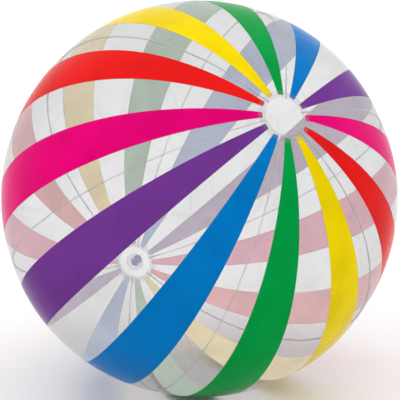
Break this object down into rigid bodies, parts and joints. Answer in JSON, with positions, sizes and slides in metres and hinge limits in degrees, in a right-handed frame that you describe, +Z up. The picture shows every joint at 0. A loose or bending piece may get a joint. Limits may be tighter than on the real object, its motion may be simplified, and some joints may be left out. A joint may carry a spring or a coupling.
{
  "type": "inflatable beach ball",
  "caption": "Round inflatable beach ball of clear printed vinyl gores, with a cap film at each pole and a push-in air valve with a plug.",
  "frame": {"origin": "centre of the ball, which is the centre of its box", "axes": "+Z up; the ball rests on the flat patch that faces -Z, with its polar axis leaning: the plain cap points up, forward (-Y) and to the right (+X), and the valve down, back and to the left"},
  "size_m": [0.68, 0.68, 0.6788],
  "materials": {
    "film_red_pink": "clear glossy vinyl film, printed with a red and a pink stripe",
    "film_purple_blue": "clear glossy vinyl film, printed with a purple and a blue stripe",
    "film_green_yellow": "clear glossy vinyl film, printed with a green and a yellow stripe",
    "clear_film": "clear glossy vinyl film",
    "tinted_vinyl": "soft translucent blue vinyl moulding"
  },
  "bodies": {
    "ball": {"gore_red_pink_a": "film_red_pink", "gore_purple_blue_a": "film_purple_blue", "gore_green_yellow_a": "film_green_yellow", "gore_red_pink_b": "film_red_pink", "gore_purple_blue_b": "film_purple_blue", "gore_green_yellow_b": "film_green_yellow", "plain_cap": "clear_film", "valve_cap": "clear_film", "valve_flange": "tinted_vinyl", "valve_boot": "tinted_vinyl"},
    "stem": {"valve_stem": "tinted_vinyl", "plug_strap": "tinted_vinyl"},
    "stopper": {"plug": "tinted_vinyl"},
    "flap": {"check_flap": "tinted_vinyl"}
  },
  "joints": [
    {"name": "stem_pull", "type": "slide", "parent": "ball", "child": "stem", "axis": [-0.3754, 0.7563, -0.5358], "range_m": [0, 0.016], "deforming": ["valve_boot"]},
    {"name": "plug_flip", "type": "hinge", "parent": "stem", "child": "stopper", "pos_m": [-0.1345, 0.25924, -0.1772], "axis": [0.5694, 0.6443, 0.5105], "range_deg": [0, 150], "deforming": ["plug_strap"]},
    {"name": "flap_open", "type": "hinge", "parent": "stem", "child": "flap", "pos_m": [-0.12532, 0.24347, -0.16753], "axis": [-0.5694, -0.6443, -0.5105], "range_deg": [0, 60], "stiffness_Nm_per_rad": 0.0002}
  ]
}
